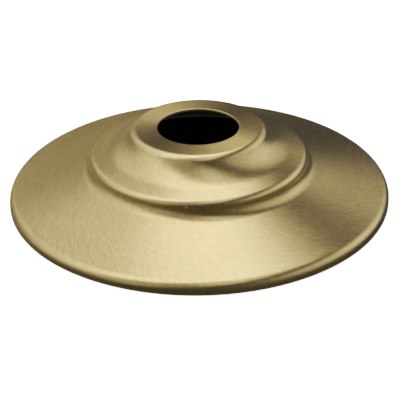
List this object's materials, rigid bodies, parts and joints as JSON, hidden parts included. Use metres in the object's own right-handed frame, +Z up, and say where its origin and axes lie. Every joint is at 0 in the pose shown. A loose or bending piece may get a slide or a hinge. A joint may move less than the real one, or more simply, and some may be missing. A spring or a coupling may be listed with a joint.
{
  "type": "lamp vase cap",
  "caption": "Round stepped cover of spun antique brass sheet with a central pipe hole, which closes the mouth of a vase made into a lamp.",
  "frame": {"origin": "on the spinning axis, in the plane of the rim's lower edge, which rests on the vase", "axes": "+Z up along the spinning axis, out of the crown's hole"},
  "size_m": [0.127, 0.127, 0.0241],
  "materials": {
    "antique_brass": "satin brushed antique, lacquered"
  },
  "bodies": {
    "root": {"vase_cap": "antique_brass"}
  },
  "joints": []
}
